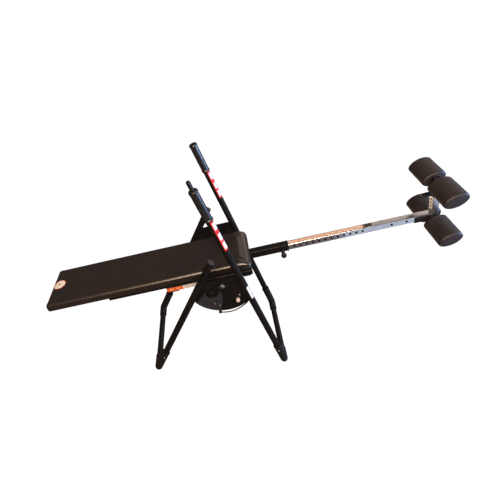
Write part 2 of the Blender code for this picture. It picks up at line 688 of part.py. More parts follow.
def clamp():
    """The upright post, the stem that slides in it, the two roller bars and the latch lever."""
    post = square_tube("clamp_post", (TUBE_SIZE, TUBE_SIZE), 0.0022, POST_TOP - POST_LOW, "chrome",
                       (POST_U, 0, (POST_TOP + POST_LOW) / 2), (0, 0, 0), bench)
    boolean(post, helper(rod_mesh(BAR_R + GAP, 0.08), (POST_U, 0, LOWER_W), ALONG_Y, bench))
    notches = [0.004 + 0.0205 * n for n in range(4)]
    for w in notches:
        notch = helper(cube_mesh((0.010, 0.016, 0.010)), (POST_U - TUBE_SIZE / 2, 0, w), parent=bench)
        boolean(post, notch)
    stem_low = 0.010
    square_tube("clamp_stem", (STEM_SIZE, STEM_SIZE), 0.0025, STEM_TOP - stem_low, "black_paint",
                (POST_U, 0, (STEM_TOP + stem_low) / 2), (0, 0, 0), bench)
    head = beam("clamp_head", (POST_U - 0.0185, -0.0185, STEM_TOP + GAP),
                (POST_U + 0.0185, 0.0185, UPPER_W + 0.022), "black_plastic", bench)
    boolean(head, helper(rod_mesh(BAR_R + GAP, 0.08), (POST_U, 0, UPPER_W), ALONG_Y, bench))
    bevel(head, 0.003, 2)
    for name, w in (("upper_bar", UPPER_W), ("lower_bar", LOWER_W)):
        half = ROLLER_OUT - BAR_SUNK
        neck = half - BAR_HEAD_T
        bar = [(0, half), (BAR_HEAD_R, half), (BAR_HEAD_R, neck), (BAR_R, neck), (BAR_R, -neck),
               (BAR_HEAD_R, -neck), (BAR_HEAD_R, -half), (0, -half)]
        turned(name, bar, "black_paint", location=(POST_U, 0, w), rotation=ALONG_Y, parent=bench)
    half = STEM_SIZE / 2 + GAP
    outer = TUBE_SIZE + 0.003
    loops = [rectangle(outer, outer, 0.003), rectangle(2 * half, 2 * half)]
    add("post_collar", outline_mesh(loops, 0.005), "black_plastic",
        (POST_U, 0, POST_TOP + GAP + 0.0025), parent=bench)
    axis = (LEVER_U, LEVER_W)
    lever = arc(axis, 0.0082, -90, 90, 9)
    lever += [(LEVER_U - 0.030, LEVER_W + 0.0070), (LEVER_U - 0.062, LEVER_W + 0.0050),
              (LEVER_U - 0.066, LEVER_W), (LEVER_U - 0.062, LEVER_W - 0.0050)]
    piece = in_plane("latch_lever", [lever], 0.024, 0, "black_plastic", bench)
    bevel(piece, 0.0015, 1)


def rollers():
    """Four oval foam rollers, each free to turn on its bar."""
    half_angle = 2 * math.atan(ROLLER_THIN / ROLLER_HALF)
    radius = ROLLER_HALF / math.sin(half_angle)
    drop = radius - ROLLER_THIN
    nose = 0.010
    sweep = math.degrees(half_angle) - math.degrees(nose / radius) * 0.9
    upper = arc((0, -drop), radius, 90 - sweep, 90 + sweep, 11)
    lower = arc((0, drop), radius, 270 - sweep, 270 + sweep, 11)
    oval = upper + lower
    turn = math.cos(ROLLER_LEAN), math.sin(ROLLER_LEAN)
    oval = [(a * turn[0] - b * turn[1], a * turn[1] + b * turn[0]) for a, b in oval]
    for level, w in (("upper", UPPER_W), ("lower", LOWER_W)):
        for side, tag in SIDE_NAMES.items():
            mesh = outline_mesh([oval, circle((0, 0), BAR_R + GAP)], ROLLER_OUT - ROLLER_IN)
            roller = add(f"roller_{level}_{tag}", mesh, "foam",
                         (POST_U, side * (ROLLER_IN + ROLLER_OUT) / 2, w), UPRIGHT, bench)
            depth = 2 * (BAR_SUNK + BAR_HEAD_T + GAP)
            spot = (POST_U, side * ROLLER_OUT, w)
            boolean(roller, helper(rod_mesh(BAR_HEAD_R + GAP, depth), spot, ALONG_Y, bench))
            bevel(roller, 0.0022, 1, 50)


near_axis = legs(-1)
far_axis = legs(1)
grip("near", near_axis)
grip("far", far_axis)
cross_bars()
handle_tops(near_axis, far_axis)
side_plate(-1)
side_plate(1)
brake()
brake_cable()
pad()
rails()
pivot_ears()
brake_disc()
spine()
sliding_tube()
saddle()
clamp()
rollers()
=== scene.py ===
"""Looks of the inversion table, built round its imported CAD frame.

Metres, +Z up. +X points to the ankle end and +Y to the far side, as in the CAD.
"""
import json
import math

import bmesh
import bpy
import numpy as np
from mathutils import Matrix, Vector, noise
from mathutils.bvhtree import BVHTree


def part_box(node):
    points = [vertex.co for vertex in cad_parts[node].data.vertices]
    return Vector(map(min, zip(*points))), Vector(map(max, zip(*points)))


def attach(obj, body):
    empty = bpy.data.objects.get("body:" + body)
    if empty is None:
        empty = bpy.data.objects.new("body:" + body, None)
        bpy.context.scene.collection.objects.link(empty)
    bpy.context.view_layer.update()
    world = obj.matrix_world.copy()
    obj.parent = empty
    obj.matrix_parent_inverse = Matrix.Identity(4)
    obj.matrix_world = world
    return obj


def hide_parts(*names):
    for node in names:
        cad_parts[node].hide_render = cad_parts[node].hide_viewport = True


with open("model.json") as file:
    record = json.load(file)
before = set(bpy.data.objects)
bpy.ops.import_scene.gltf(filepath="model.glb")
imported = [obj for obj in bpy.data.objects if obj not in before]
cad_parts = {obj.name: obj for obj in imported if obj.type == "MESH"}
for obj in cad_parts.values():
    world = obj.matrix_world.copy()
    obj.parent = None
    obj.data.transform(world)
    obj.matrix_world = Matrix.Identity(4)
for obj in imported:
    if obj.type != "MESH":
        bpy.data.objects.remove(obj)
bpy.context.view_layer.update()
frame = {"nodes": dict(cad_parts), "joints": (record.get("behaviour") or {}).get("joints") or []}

# ---- places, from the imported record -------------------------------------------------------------
JOINTS = {joint["name"]: joint for joint in frame["joints"]}
PIVOT = Vector(JOINTS["bench_tilt"]["pos_m"])
ALONG = Vector(JOINTS["tube_slide"]["axis"])
UP = Vector(JOINTS["clamp_slide"]["axis"])
LEG_UP = -Vector(JOINTS["button_press"]["axis"])
ROW_Y = Vector((0, 1, 0))


def axes(origin, x, y, z):
    """A matrix that puts local X, Y and Z along the given directions."""
    turn = Matrix((x, y, z)).transposed().to_4x4()
    return Matrix.Translation(origin) @ turn


BENCH = axes(PIVOT, ALONG, ROW_Y, UP)          # X along the bench, Y to the far side, Z off the pad


def points(node):
    """A CAD node's vertices in the object's axes."""
    return np.array([v.co for v in frame["nodes"][node].data.vertices])


def local_points(node, place):
    """A CAD node's vertices in the axes of a place."""
    inverse = np.array(place.inverted())
    return points(node) @ inverse[:3, :3].T + inverse[:3, 3]


def local_box(node, place=BENCH):
    """Lowest and highest corner of a CAD node in a local frame."""
    spots = local_points(node, place)
    return Vector(spots.min(0)), Vector(spots.max(0))


def leg_place(node, up):
    """Local frame of a leg tube: Z up the tube, Y to the far side, origin at the tube's low end."""
    low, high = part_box(node)
    place = axes((low + high) / 2, ROW_Y.cross(up), ROW_Y, up)
    return place @ Matrix.Translation((0, 0, local_points(node, place)[:, 2].min()))


def slope_of(node):
    """Direction of a tube from its own vertices, pointing up."""
    spots = points(node)
    spread = np.linalg.svd(spots - spots.mean(0), full_matrices=False)[2][0]
    return Vector(spread if spread[2] > 0 else -spread)


# ---- camera and lights --------------------------------------------------------------------------
CAMERA_AT = (-0.2027, -1.7780, 2.0748)
CAMERA_PITCH = math.radians(52.286)
CAMERA_YAW = math.radians(-4.372)
CAMERA_LENS = 28.8
CAMERA_SENSOR = 36
CAMERA_SHIFT = 0.0367

camera = bpy.data.objects.new("camera", bpy.data.cameras.new("camera"))
camera.location = CAMERA_AT
camera.rotation_euler = (CAMERA_PITCH, 0, CAMERA_YAW)
camera.data.lens = CAMERA_LENS
camera.data.sensor_width = CAMERA_SENSOR
camera.data.shift_x = CAMERA_SHIFT
bpy.context.scene.collection.objects.link(camera)
bpy.context.scene.camera = camera
bpy.context.scene.view_settings.view_transform = "Standard"


def area_light(name, at, aim, size, watts, colour):
    """A rectangular lamp that the camera doesn't see."""
    data = bpy.data.lights.new(name, "AREA")
    data.shape = "RECTANGLE"
    data.size, data.size_y = size
    data.energy = watts
    data.color = colour
    lamp = bpy.data.objects.new(name, data)
    lamp.location = at
    lamp.rotation_euler = (Vector(aim) - Vector(at)).to_track_quat("-Z", "Y").to_euler()
    lamp.visible_camera = False
    bpy.context.scene.collection.objects.link(lamp)


# Name, place, target, size, watts and colour. The two glows lie on the floor and stand in for light off it.
LIGHTS = (
    ("key_light", (-0.6, -3.2, 3.7), (-0.2, 0, 0.6), (3.0, 1.6), 270, (1.0, 0.74, 0.50)),
    ("window_light", (3.6, -0.6, 1.9), (0, 0, 0.8), (1.8, 1.5), 250, (0.36, 0.58, 1.0)),
    ("back_light", (2.3, 3.4, 2.8), (0.4, 0, 0.7), (3.6, 1.8), 22, (1.0, 0.80, 0.66)),
    ("floor_glow", (1.95, -1.55, 0.02), (1.95, -1.55, 1.0), (1.9, 1.4), 4.6, (0.72, 0.82, 1.0)),
    ("wall_glow", (0.55, 1.35, 0.02), (0.55, 1.35, 1.0), (1.5, 1.1), 4.5, (1.0, 0.72, 0.48)),
)
for light in LIGHTS:
    area_light(*light)

SKY_COLOUR = (0.36, 0.29, 0.26, 1)
SKY_STRENGTH = 0.42

world = bpy.data.worlds.new("studio")
world.use_nodes = True
sky = world.node_tree.nodes["Background"]
sky.inputs["Color"].default_value = SKY_COLOUR
sky.inputs["Strength"].default_value = SKY_STRENGTH
bpy.context.scene.world = world


# ---- material nodes -----------------------------------------------------------------------------
MIX_FACTOR, MIX_FIRST, MIX_SECOND, MIX_RESULT = 0, 6, 7, 2       # the colour mix node's own sockets


class Look:
    """A Principled material with a few short ways to add nodes to it."""

    def __init__(self, name, colour, roughness, metallic=0.0, **sockets):
        self.mat = bpy.data.materials.new(name)
        self.mat.use_nodes = True
        self.tree = self.mat.node_tree
        self.shader = self.tree.nodes["Principled BSDF"]
        self.colour = colour
        self.set("Base Color", (*colour, 1))
        self.set("Roughness", roughness)
        self.set("Metallic", metallic)
        for socket, value in sockets.items():
            self.set(socket.replace("_", " "), value)
        self.coords = self.node("ShaderNodeTexCoord").outputs["Object"]

    def set(self, socket, value):
        """Set a plain value on the shader."""
        self.shader.inputs[socket].default_value = value

    def node(self, kind, inputs=None, **settings):
        """Add a node; each input is a plain value or another node's output."""
        made = self.tree.nodes.new(kind)
        for key, value in settings.items():
            setattr(made, key, value)
        for key, value in (inputs or {}).items():
            if isinstance(value, bpy.types.NodeSocket):
                self.tree.links.new(value, made.inputs[key])
            else:
                made.inputs[key].default_value = value
        return made

    def link(self, output, socket):
        """Feed a socket of the shader from a node's output."""
        self.tree.links.new(output, self.shader.inputs[socket])

    def mapped(self, scale, tilt):
        """The piece's coordinates, turned about Y and stretched."""
        made = self.node("ShaderNodeMapping", {"Vector": self.coords})
        made.inputs["Scale"].default_value = scale
        made.inputs["Rotation"].default_value = (0, tilt, 0)
        return made.outputs["Vector"]

    def noise(self, scale, detail=3.0, rough=0.55, vector=None):
        """A cloudy 0 to 1 pattern."""
        made = self.node("ShaderNodeTexNoise", {"Vector": vector or self.coords, "Scale": scale,
                                                "Detail": detail, "Roughness": rough})
        return made.outputs["Fac"]

    def math(self, operation, a, b):
        """One sum of two values."""
        return self.node("ShaderNodeMath", {0: a, 1: b}, operation=operation).outputs[0]

    def spread(self, value, low, high, start=0.3, end=0.7):
        """Map the part of a pattern from start to end on to a range."""
        made = self.node("ShaderNodeMapRange", {"Value": value, "From Min": start, "From Max": end,
                                                "To Min": low, "To Max": high})
        return made.outputs["Result"]

    def mix(self, factor, first, second):
        """A blend from the first colour at factor 0 to the second at factor 1."""
        made = self.node("ShaderNodeMix", {MIX_FACTOR: factor}, data_type="RGBA")
        for index, value in ((MIX_FIRST, first), (MIX_SECOND, second)):
            if isinstance(value, bpy.types.NodeSocket):
                self.tree.links.new(value, made.inputs[index])
            else:
                made.inputs[index].default_value = (*value, 1)
        return made.outputs[MIX_RESULT]

    def bump(self, height, strength, distance, normal=None):
        """A normal from a height pattern, over another normal if there is one."""
        inputs = {"Height": height, "Strength": strength, "Distance": distance}
        if normal:
            inputs["Normal"] = normal
        return self.node("ShaderNodeBump", inputs).outputs["Normal"]

    def near(self, value, middle, half):
        """1 where a value is within `half` of the middle, else 0."""
        made = self.node("ShaderNodeMath", {0: value, 1: middle, 2: half}, operation="COMPARE")
        return made.outputs[0]

    def box(self, across, along, left, right, low, high):
        """1 inside a box of the piece's own UV map, else 0."""
        in_u = self.near(across, (left + right) / 2, (right - left) / 2)
        in_v = self.near(along, (low + high) / 2, (high - low) / 2)
        return self.math("MULTIPLY", in_u, in_v)

    def uv(self):
        """The two coordinates of the piece's own UV map."""
        split = self.node("ShaderNodeSeparateXYZ", {0: self.node("ShaderNodeUVMap").outputs[0]})
        return split.outputs["X"], split.outputs["Y"]


def shades(colour, factor):
    """A colour made lighter or darker."""
    return tuple(channel * factor for channel in colour)


def worn(look, rough, grain, strength, distance, tint=0.3, chips=None):
    """Uneven colour and gloss, a fine surface texture, and pale rubbed specks of the colour chips."""
    cloud = look.noise(9.0, 4.0)
    base = look.mix(look.spread(cloud, 0, 1), shades(look.colour, 1 - tint), shades(look.colour, 1 + tint))
    if chips:
        speck = look.spread(look.noise(170.0, 2.0, 0.7), 0, 1, 0.74, 0.80)
        patch = look.spread(look.noise(5.0, 2.0), 0, 1, 0.50, 0.70)
        base = look.mix(look.math("MULTIPLY", speck, patch), base, chips)
    look.link(base, "Base Color")
    look.link(look.spread(look.noise(38.0, 5.0, 0.65), rough[0], rough[1]), "Roughness")
    fine = look.bump(look.noise(grain, 3.0), strength, distance)
    look.link(look.bump(look.noise(grain / 9, 2.0), strength * 0.5, distance * 2, fine), "Normal")
    return look.mat


def leather(look, cell, rough):
    """Pressed vinyl: small rounded cells between fine creases, with painted shade darkening the creases,
    over a soft cloudy sheen.
    """
    wander, crease, crease_depth, grain_depth = 0.0010, 0.10, 0.00022, 0.0001
    warp = look.node("ShaderNodeTexNoise", {"Vector": look.coords, "Scale": cell * 0.6, "Detail": 2.0})
    bent = look.node("ShaderNodeVectorMath", {0: warp.outputs["Color"], 1: (wander, wander, wander)},
                     operation="MULTIPLY").outputs[0]
    place = look.node("ShaderNodeVectorMath", {0: look.coords, 1: bent}, operation="ADD").outputs[0]
    edge = look.node("ShaderNodeTexVoronoi", {"Vector": place, "Scale": cell},
                     feature="DISTANCE_TO_EDGE").outputs["Distance"]
    cells = look.spread(edge, 0, 1, 0.0, 0.16)
    cloud = look.spread(look.noise(6.0, 4.0), 0, 1)
    base = look.mix(cloud, shades(look.colour, 0.75), shades(look.colour, 1.3))
    # Base colour darkened towards the creases between cells: painted shade in the creases.
    crease_shade = look.spread(cells, 0.30, 0, 0, 0.5)
    look.link(look.mix(crease_shade, base, shades(look.colour, 0.4)), "Base Color")
    dull_creases = look.spread(cells, 0.10, 0.0, 0, 1)
    look.link(look.math("ADD", dull_creases, look.spread(look.noise(30.0, 5.0), *rough)), "Roughness")
    fine = look.bump(look.noise(cell * 3.2, 2.0), 0.10, grain_depth)
    look.link(look.bump(cells, crease, crease_depth, fine), "Normal")
    return look.mat


def foam_skin(look):
    """Moulded foam skin: fine closed pores, soft dents and a dull sheen."""
    pores = look.node("ShaderNodeTexVoronoi", {"Vector": look.coords, "Scale": 620.0}).outputs["Distance"]
    cloud = look.spread(look.noise(14.0, 4.0), 0, 1)
    look.link(look.mix(cloud, shades(look.colour, 0.75), shades(look.colour, 1.35)), "Base Color")
    look.link(look.spread(look.noise(45.0, 4.0), 0.46, 0.62), "Roughness")
    fine = look.bump(pores, 0.30, 0.0002)
    look.link(look.bump(look.noise(60.0, 3.0), 0.25, 0.0006, fine), "Normal")
    return look.mat


# Colour inside a plated tube: painted shade in its hollow, not a bare metal colour.
INSIDE_SHADE = (0.010, 0.008, 0.007)
SKIN = 0.0012


def plated(look, rough, across, node):
    """Bright plating with polishing streaks and cloudy marks; below its skin a tube gets painted shade,
    near-black and not metal, for the shade inside its hollow.
    """
    low, high = local_box(node)
    middle = BENCH @ ((low + high) / 2)
    half = (high.y - low.y) / 2 - SKIN
    reach = look.node("ShaderNodeVectorMath", {0: look.coords, 1: tuple(across)},
                      operation="DOT_PRODUCT").outputs["Value"]
    side = look.node("ShaderNodeSeparateXYZ", {0: look.coords}).outputs["Y"]
    inside = look.math("MULTIPLY", look.near(reach, middle.dot(across), half), look.near(side, 0.0, half))
    long, fine = 9, 900
    stretch = (long, fine, fine) if across == UP else (fine, fine, long)
    streaks = look.noise(1.0, 4.0, 0.6, look.mapped(stretch, math.atan2(ALONG.z, ALONG.x)))
    smears = look.noise(28.0, 4.0)
    look.link(look.math("ADD", look.spread(streaks, 0, 0.03), look.spread(smears, *rough)), "Roughness")
    skin = look.mix(look.spread(smears, 0, 0.35), look.colour, shades(look.colour, 0.72))
    # Inside the skin the colour is painted shade, and the metal is turned off so the hollow shows dark.
    look.link(look.mix(inside, skin, INSIDE_SHADE), "Base Color")
    look.link(look.math("SUBTRACT", 1.0, inside), "Metallic")
    look.link(look.bump(streaks, 0.012, 0.0001), "Normal")
    return look.mat


MATS = {
    "paint": worn(Look("black_paint", (0.0065, 0.0058, 0.0060), 0.4, Specular_IOR_Level=0.28),
                  (0.30, 0.46), 1100, 0.12, 0.0002, chips=(0.10, 0.095, 0.09)),
    "plastic": worn(Look("black_plastic", (0.0085, 0.0075, 0.0078), 0.5, Specular_IOR_Level=0.4),
                    (0.42, 0.60), 1900, 0.22, 0.0002),
    "grip": worn(Look("grip_rubber", (0.010, 0.009, 0.0105), 0.4, Specular_IOR_Level=0.9),
                 (0.26, 0.36), 900, 0.30, 0.0003),
    "vinyl": leather(Look("pad_vinyl", (0.0120, 0.0080, 0.0062), 0.3, Specular_IOR_Level=1.0),
                     430.0, (0.24, 0.34)),
    "foam": foam_skin(Look("roller_foam", (0.0190, 0.0150, 0.0158), 0.45, Specular_IOR_Level=0.6)),
    "chrome": plated(Look("chrome", (0.78, 0.80, 0.85), 0.16, 1.0), (0.10, 0.24), UP, "sliding_tube"),
    "post": plated(Look("post_chrome", (0.78, 0.78, 0.80), 0.16, 1.0), (0.12, 0.26), ALONG, "clamp_post"),
    "steel": worn(Look("steel", (0.56, 0.56, 0.56), 0.3, 1.0), (0.22, 0.40), 700, 0.15, 0.0001, 0.15),
    "bolt": worn(Look("oiled_steel", (0.26, 0.26, 0.27), 0.4, 1.0), (0.34, 0.50), 700, 0.15, 0.0001, 0.2),
    "brass": worn(Look("brass", (0.78, 0.56, 0.30), 0.3, 1.0), (0.22, 0.36), 700, 0.1, 0.0001, 0.12),
    "cream": worn(Look("cream_nylon", (0.72, 0.60, 0.54), 0.45), (0.36, 0.50), 1300, 0.1, 0.0001, 0.10),
    "brake": worn(Look("brake_plastic", (0.022, 0.022, 0.030), 0.45), (0.34, 0.50), 1400, 0.2, 0.0002),
    "cap": worn(Look("cap_plastic", (0.030, 0.028, 0.030), 0.5), (0.40, 0.55), 1400, 0.2, 0.0002),
    "dark": worn(Look("dust_cloth", (0.010, 0.0095, 0.0095), 0.9), (0.80, 0.95), 2400, 0.5, 0.0003),
}

# The nodes that wear each look, by the start of their names. A later entry goes over an earlier one.
NODE_LOOKS = {
    "paint": ["cross_bar_", "long_tube_", "short_tube_", "side_plate_", "bed_rail_", "frame_rail_",
              "cross_member_", "bed_slat", "pivot_ear_", "receiver", "clamp_stem", "brake_cam", "upper_bar",
              "lower_bar", "brake_piston", "pin_sleeve"],
    "plastic": ["foot_", "handle_cap", "button_guide", "push_button", "pivot_bush_", "cable_stop",
                "brake_cable", "receiver_collar", "pull_pin", "tube_saddle", "clamp_head", "post_collar",
                "latch_lever"],
    "cap": ["short_cap_"],
    "grip": ["grip_"],
    "vinyl": ["pad"],
    "foam": ["roller_"],
    "chrome": ["sliding_tube"],
    "post": ["clamp_post"],
    "steel": ["brake_screw_"],
    "bolt": ["pivot_bolt_", "brake_disc"],
    "cream": ["adjuster_knob"],
    "brake": ["brake_housing"],
}
for look, starts in NODE_LOOKS.items():
    for name, node in frame["nodes"].items():
        if any(name.startswith(start) for start in starts):
            node.data.materials.clear()
            node.data.materials.append(MATS[look])


# ---- mesh helpers -------------------------------------------------------------------------------
def piece(name, mesh, mat, body, place=None, sharp=40):
    """Link a mesh as a piece of the object, riding on a body."""
    made = bpy.data.objects.new(name, mesh)
    bpy.context.scene.collection.objects.link(made)
    if place is not None:
        made.matrix_world = place
    if not mesh.materials:
        mesh.materials.append(MATS[mat])
    mesh.shade_smooth()
    mesh.set_sharp_from_angle(angle=math.radians(sharp))
    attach(made, body)
    return made


def evaluated(obj):
    """A mesh of an object as it stands after its modifiers."""
    graph = bpy.context.evaluated_depsgraph_get()
    return bpy.data.meshes.new_from_object(obj.evaluated_get(graph))


def mesh_from(shape):
    """Turn a bmesh into a mesh with its faces looking outwards."""
    bmesh.ops.recalc_face_normals(shape, faces=shape.faces)
    mesh = bpy.data.meshes.new("mesh")
    shape.to_mesh(mesh)
    shape.free()
    return mesh


def rings_mesh(rings, closed=False):
    """Skin a list of rings with equal counts; both ends are filled unless the last ring joins the first."""
    shape = bmesh.new()
    made = [[shape.verts.new(spot) for spot in ring] for ring in rings]
    pairs = list(zip(made, made[1:])) + ([(made[-1], made[0])] if closed else [])
    for first, second in pairs:
        count = len(first)
        for i in range(count):
            shape.faces.new((first[i], first[(i + 1) % count], second[(i + 1) % count], second[i]))
    if not closed:
        shape.faces.new(made[0])
        shape.faces.new(made[-1])
    return mesh_from(shape)


def lathe_mesh(profile, sides=40, closed=False):
    """Spin (radius, height) points about Z."""
    rings = []
    for radius, height in profile:
        turns = (2 * math.pi * k / sides for k in range(sides))
        rings.append([(radius * math.cos(t), radius * math.sin(t), height) for t in turns])
    return rings_mesh(rings, closed)


def grid_patch(spot, across, along, thick, lift):
    """A thin closed sheet over a surface; spot(s, t, height) gives a point, with s and t from 0 to 1."""
    shape = bmesh.new()
    uv = shape.loops.layers.uv.new("label")
    layers = []
    for height in (lift, lift + thick):
        layers.append([[shape.verts.new(spot(i / across, j / along, height)) for j in range(along + 1)]
                       for i in range(across + 1)])
    share = {}
    for layer in layers:
        for i, row in enumerate(layer):
            for j, vert in enumerate(row):
                share[vert] = (i / across, j / along)
    for i in range(across):
        for j in range(along):
            for layer in layers:
                shape.faces.new((layer[i][j], layer[i + 1][j], layer[i + 1][j + 1], layer[i][j + 1]))
    low, high = layers
    rim = [(i, 0) for i in range(across)] + [(across, j) for j in range(along)]
    rim += [(i, along) for i in range(across, 0, -1)] + [(0, j) for j in range(along, 0, -1)]
    for (a, b), (c, d) in zip(rim, rim[1:] + rim[:1]):
        shape.faces.new((low[a][b], low[c][d], high[c][d], high[a][b]))
    for face in shape.faces:
        for loop in face.loops:
            loop[uv].uv = share[loop.vert]
    return mesh_from(shape)


# ---- labels -------------------------------------------------------------------------------------
def label_look(name, ground, marks, rough=0.32):
    """A printed film: a ground colour with boxes of other colours, in the piece's own UV map."""
    look = Look(name, ground, rough, Coat_Weight=0.35, Coat_Roughness=0.18)
    across, along = look.uv()
    base = look.mix(look.spread(look.noise(60.0, 4.0), 0, 1), shades(ground, 0.88), ground)
    for colour, left, right, low, high in marks:
        base = look.mix(look.box(across, along, left, right, low, high), base, colour)
    look.link(base, "Base Color")
    look.link(look.bump(look.noise(300.0, 2.0), 0.05, 0.0001), "Normal")
    return look.mat


RED = (0.84, 0.030, 0.034)
WHITE = (0.86, 0.85, 0.86)
GREY = (0.36, 0.34, 0.36)
CREAM = (0.86, 0.58, 0.44)
FILM = (0.00015, 0.00008)                      # thickness of a printed film, and the gap under it
TUBE_R = (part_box("cross_bar_head")[1].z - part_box("cross_bar_head")[0].z) / 2


def wrapped_label(name, place, top, size, look, half=80.0, turn=0.0):
    """A film wrapped round a leg tube's ankle side, its top edge `top` up the tube; half is in degrees."""
    low = top - size

    def spot(s, t, height):
        angle = math.radians(turn + half * (2 * s - 1))
        radius = TUBE_R + height
        return radius * math.cos(angle), -radius * math.sin(angle), low + size * (1 - t)

    mesh = grid_patch(spot, 22, 12, *FILM)
    mesh.materials.append(look)
    return piece(name, mesh, None, "frame", place)


def handle_label_look():
    """Red film with three white panels; each has a red block and plain grey bars for its wording."""
    panels = ((0.05, 0.28), (0.42, 0.64), (0.72, 0.95))
    marks = [(WHITE, 0.34, 0.90, low, high) for low, high in panels]
    for low, high in panels:
        step = (high - low) / 4
        marks += [(RED, 0.34, 0.55, low + step * 1.2, low + step * 2.2),
                  (GREY, 0.60, 0.80, low + step * 2.9, low + step * 3.1)]
    return label_look("handle_label", RED, marks)


LONG_LEGS = {tag: leg_place("long_tube_" + tag, LEG_UP) for tag in ("near", "far")}
HANDLE_LABEL = 0.179                           # length of a handle label along its tube
GRIP_GAP = 0.003
handle_look = handle_label_look()
for tag, place in LONG_LEGS.items():
    low = local_box("grip_" + tag, place)[0].z
    wrapped_label("handle_label_" + tag, place, low - GRIP_GAP, HANDLE_LABEL, handle_look)

STICKER_AT = (PIVOT.x + 0.134, 0, 0.655)       # level with the sticker's top edge
STICKER = 0.088
place = LONG_LEGS["near"]
sticker_top = (place.inverted() @ Vector(STICKER_AT)).z
sticker_look = label_look("serial_sticker", WHITE, [
    (GREY, 0.2, 0.8, 0.12, 0.18), (GREY, 0.2, 0.65, 0.30, 0.34),
    (GREY, 0.2, 0.75, 0.46, 0.50), (GREY, 0.3, 0.7, 0.70, 0.84)])
wrapped_label("leg_sticker", place, sticker_top, STICKER, sticker_look, 62.0, 8.0)


def rail_label():
    """A film on the near rail's near face: an orange half with two blocks, and bars for its wording."""
    start, end = -0.314, -0.142
    rail = local_box("frame_rail_near")
    bottom, top = rail[0].z + 0.002, rail[1].z - 0.003
    look = label_look("rail_label", (0.78, 0.74, 0.72), [
        ((0.80, 0.13, 0.02), 0.0, 0.52, 0.0, 1.0), ((0.86, 0.42, 0.22), 0.08, 0.20, 0.25, 0.75),
        ((0.88, 0.50, 0.30), 0.30, 0.42, 0.3, 0.6), (GREY, 0.58, 0.94, 0.20, 0.30),
        (GREY, 0.58, 0.86, 0.46, 0.54), (GREY, 0.58, 0.90, 0.70, 0.78)])

    def spot(s, t, height):
        return start + (end - start) * s, rail[0].y - height, top + (bottom - top) * t

    mesh = grid_patch(spot, 24, 2, *FILM)
    mesh.materials.append(look)
    piece("rail_label", mesh, None, "bench", BENCH)


rail_label()


def scale_strip():
    """Height scale on top of the sliding tube: a tinted film with ticks and numbers, and a dark end film."""
    tube = local_box("sliding_tube")
    first, pitch, count = 0.423, 0.035, 12     # the numbers
    start, end = 0.394, 0.815                  # the film
    film, end_film = 0.0115, 0.0145            # half widths
    marks = []
    for n in range(count):
        middle = (first + pitch * n - start) / (end - start)
        marks.append(((0.10, 0.03, 0.02), 0.08, 0.34, middle - 0.0035, middle + 0.0035))
        marks.append(((0.30, 0.10, 0.06), 0.08, 0.22, middle + 0.040, middle + 0.043))
    look = label_look("scale_film", CREAM, marks, 0.25)

    def strip(low, high, half):
        def spot(s, t, height):
            return low + (high - low) * t, half * (2 * s - 1), tube[1].z + height
        return grid_patch(spot, 2, 24, 0.00008, 0.00003)

    mesh = strip(start, end, film)
    mesh.materials.append(look)
    piece("scale_film", mesh, None, "ankle_tube", BENCH)
    mesh = strip(end + 0.001, end + 0.048, end_film)
    look = label_look("end_film", (0.012, 0.010, 0.010), [((0.5, 0.12, 0.10), 0.15, 0.85, 0.08, 0.14)])
    mesh.materials.append(look)
    piece("end_film", mesh, None, "ankle_tube", BENCH)
    shape = bmesh.new()
    for n in range(count):
        text = bpy.data.curves.new("digit", "FONT")
        text.body = str(n + 1)
        text.size = 0.0105
        text.align_x = text.align_y = "CENTER"
        text.extrude = 0.00003
        text.resolution_u = 2
        guide = bpy.data.objects.new("digit", text)
        bpy.context.scene.collection.objects.link(guide)
        bpy.context.view_layer.update()
        digit = evaluated(guide)
        at = Matrix.Translation((first + pitch * n, 0.0030, tube[1].z + 0.00013))
        digit.transform(at @ Matrix.Rotation(math.pi / 2, 4, "Z"))
        shape.from_mesh(digit)
        bpy.data.objects.remove(guide)
        bpy.data.meshes.remove(digit)
    piece("scale_numbers", mesh_from(shape), "plastic", "ankle_tube", BENCH)


scale_strip()


# ---- cushion ------------------------------------------------------------------------------------
CLOTH_FRAMES = 20


def inflate(obj, pressure, cap, held):
    """Blow a closed mesh up by cloth simulation, no vertex by more than cap; `held` vertices stay."""
    rest = np.array([v.co for v in obj.data.vertices])
    group = obj.vertex_groups.new(name="held")
    group.add([int(i) for i in held], 1.0, "REPLACE")
    mod = obj.modifiers.new("cloth", "CLOTH")
    cloth = mod.settings
    cloth.quality = 4
    cloth.mass = 0.25
    cloth.tension_stiffness = cloth.compression_stiffness = 22
    cloth.shear_stiffness = 8
    cloth.bending_stiffness = 2.0
    cloth.vertex_group_mass = "held"
    cloth.use_pressure = True
    cloth.uniform_pressure_force = pressure
    cloth.effector_weights.gravity = 0
    mod.collision_settings.use_collision = False
    scene = bpy.context.scene
    for step in range(1, CLOTH_FRAMES + 1):
        scene.frame_set(step)
    blown = evaluated(obj)
    moved = np.array([v.co for v in blown.vertices])
    bpy.data.meshes.remove(blown)
    obj.modifiers.clear()
    shift = moved - rest
    size = np.linalg.norm(shift, axis=1, keepdims=True)
    shift *= np.minimum(1.0, cap / np.maximum(size, 1e-9))
    obj.data.vertices.foreach_set("co", (rest + shift).astype(np.float32).ravel())
    obj.data.update()
    scene.frame_set(1)


